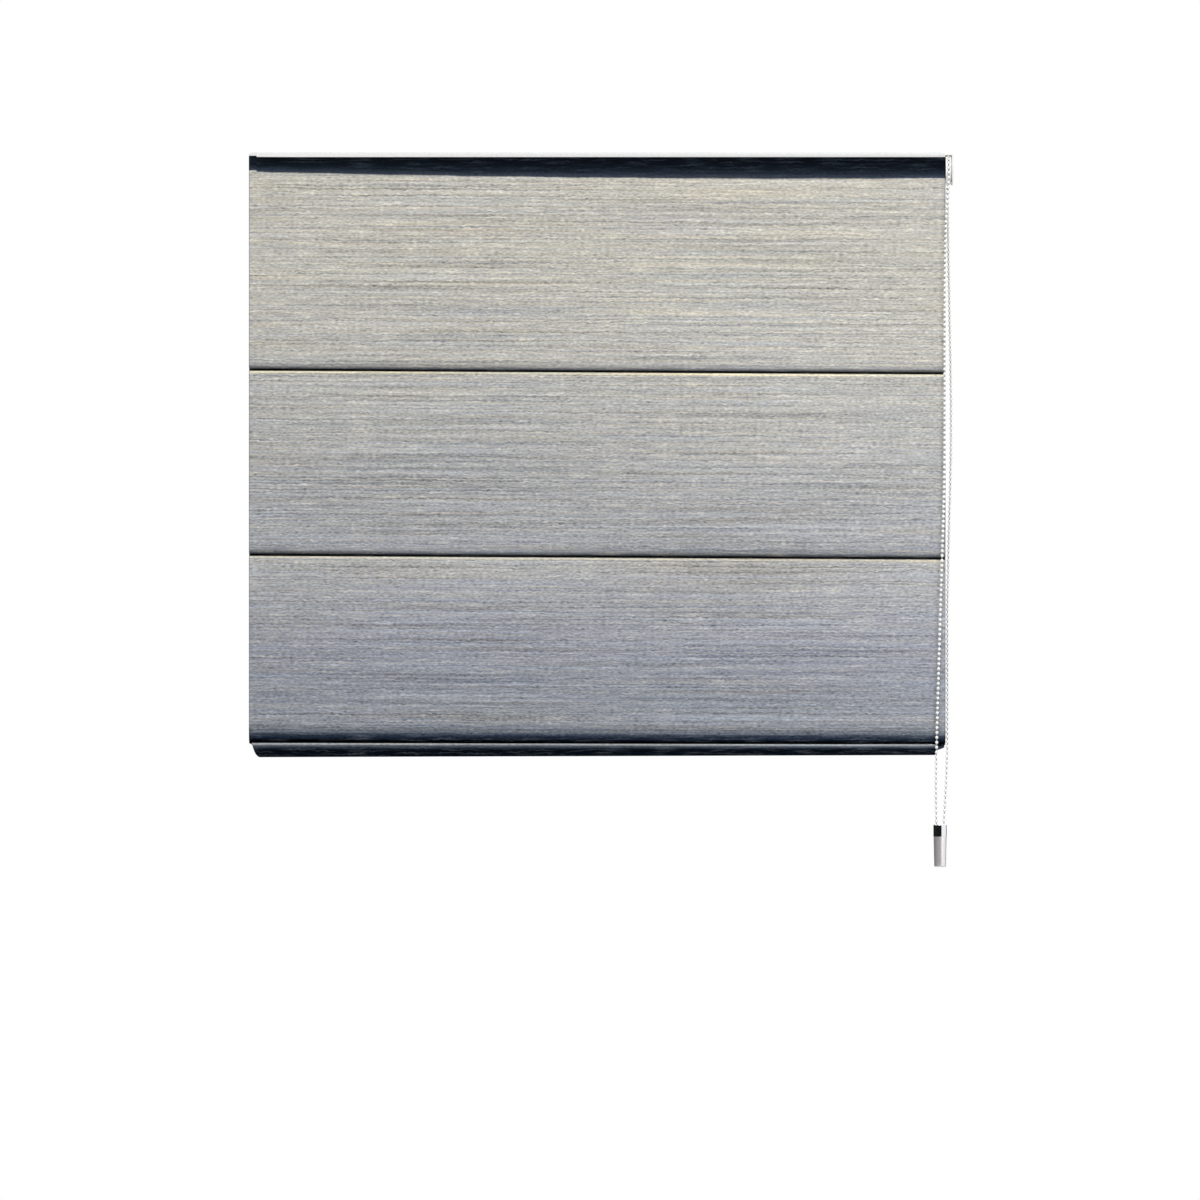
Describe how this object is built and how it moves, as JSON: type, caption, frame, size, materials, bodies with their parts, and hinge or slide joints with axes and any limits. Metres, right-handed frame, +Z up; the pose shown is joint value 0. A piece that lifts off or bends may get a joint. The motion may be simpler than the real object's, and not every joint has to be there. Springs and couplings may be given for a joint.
{
  "type": "roman blind",
  "caption": "Roman blind with creased cloth panels, a navy heading band and hem, and a looped bead chain with a metal weight that winds lift cords in the headrail.",
  "frame": {"origin": "middle of the four bracket screw holes, on the wall plane", "axes": "+X along the headrail to the chain side, +Y into the wall, +Z up; the cloth faces -Y"},
  "size_m": [0.8606, 0.0558, 0.8721],
  "materials": {
    "bracket_steel": "zinc plated pressed steel",
    "white_enamel": "white enamelled aluminium extrusion",
    "white_plastic": "white moulded plastic",
    "screw_steel": "bright steel",
    "heading_tape": "white hook and loop tape",
    "navy_cloth": "navy woven cloth",
    "grey_cloth": "slubbed grey and cream weave",
    "lift_cord": "white braided polyester",
    "bead_plastic": "white moulded acetal",
    "weight_chrome": "polished chrome",
    "weight_satin": "satin nickel",
    "dark_plastic": "dark glass-filled nylon",
    "bare_aluminium": "mill finish aluminium",
    "batten_tape": "white woven rod pocket tape",
    "glass_fibre": "white glass-fibre rod"
  },
  "bodies": {
    "rail": {"left_bracket": "bracket_steel", "right_bracket": "bracket_steel", "headrail": "white_enamel", "left_end_cap": "white_plastic", "drive_housing": "white_plastic", "chain_cover": "white_plastic", "cover_screws": "screw_steel", "hook_tape": "heading_tape", "loop_tape": "heading_tape", "heading_band": "navy_cloth", "face_fabric": "grey_cloth", "left_spool_cradle": "white_plastic", "middle_spool_cradle": "white_plastic", "right_spool_cradle": "white_plastic", "left_lift_cord": "lift_cord", "middle_lift_cord": "lift_cord", "right_lift_cord": "lift_cord", "chain_cord": "lift_cord", "chain_beads": "bead_plastic", "weight_cap": "weight_chrome", "weight_body": "weight_satin", "weight_pin": "screw_steel"},
    "drive": {"sprocket": "bead_plastic", "brake_spring": "screw_steel", "drive_core": "dark_plastic", "drive_shaft": "bare_aluminium", "shaft_end_plug": "white_plastic", "left_spool": "white_plastic", "middle_spool": "white_plastic", "right_spool": "white_plastic"},
    "upper_batten": {"upper_rod_pocket": "batten_tape", "upper_rod": "glass_fibre", "upper_left_rod_tip": "white_plastic", "upper_right_rod_tip": "white_plastic", "upper_left_ring": "white_plastic", "upper_middle_ring": "white_plastic", "upper_right_ring": "white_plastic"},
    "lower_batten": {"lower_rod_pocket": "batten_tape", "lower_rod": "glass_fibre", "lower_left_rod_tip": "white_plastic", "lower_right_rod_tip": "white_plastic", "lower_left_ring": "white_plastic", "lower_middle_ring": "white_plastic", "lower_right_ring": "white_plastic"},
    "bottom": {"hem": "navy_cloth", "bottom_bar": "bare_aluminium", "left_bar_plug": "white_plastic", "right_bar_plug": "white_plastic", "left_cord_anchor": "white_plastic", "middle_cord_anchor": "white_plastic", "right_cord_anchor": "white_plastic"}
  },
  "joints": [
    {"name": "lift", "type": "slide", "parent": "rail", "child": "bottom", "axis": [0, 0, 1], "range_m": [0, 0.50108], "deforming": ["face_fabric", "left_lift_cord", "middle_lift_cord", "right_lift_cord"]},
    {"name": "drive_spin", "type": "hinge", "parent": "rail", "child": "drive", "pos_m": [0, -0.031, -0.0035], "axis": [1, 0, 0], "range_deg": [0, 3961], "deforming": ["chain_cord", "chain_beads"]},
    {"name": "upper_lift", "type": "slide", "parent": "rail", "child": "upper_batten", "axis": [0, 0, 1], "range_m": [0, 0.1768]},
    {"name": "lower_lift", "type": "slide", "parent": "rail", "child": "lower_batten", "axis": [0, 0, 1], "range_m": [0, 0.341]}
  ],
  "couplings": [
    {"joint": "drive_spin", "follows": "lift", "rad_per_m": 137.93},
    {"joint": "upper_lift", "follows": "lift", "ratio": 0.35254},
    {"joint": "lower_lift", "follows": "lift", "ratio": 0.6803}
  ]
}
